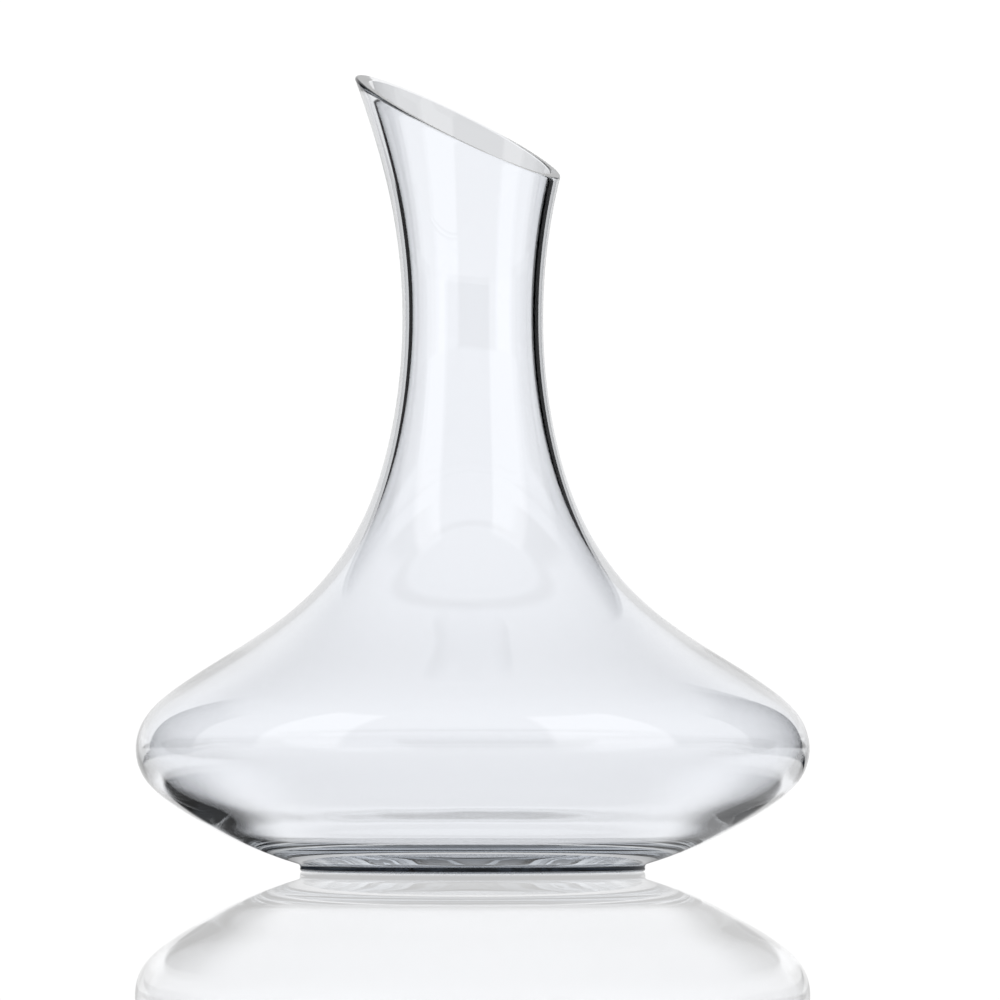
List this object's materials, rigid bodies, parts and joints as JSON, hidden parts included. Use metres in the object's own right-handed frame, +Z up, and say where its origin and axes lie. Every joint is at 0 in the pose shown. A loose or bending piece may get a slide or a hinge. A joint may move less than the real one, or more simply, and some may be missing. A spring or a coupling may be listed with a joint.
{
  "type": "wine decanter",
  "caption": "Clear glass wine decanter with a wide low bowl, a slender neck and a flared mouth cut at a slant for pouring.",
  "frame": {"origin": "centre of the base, on the surface it stands on", "axes": "+Z up along the axis of the bowl and neck; -X towards the pouring lip, the high side of the slanted mouth; symmetric about the XZ plane"},
  "size_m": [0.2, 0.2, 0.2385],
  "materials": {
    "clear_glass": "polished, fire-finished rim"
  },
  "bodies": {
    "root": {"decanter": "clear_glass"}
  },
  "joints": []
}
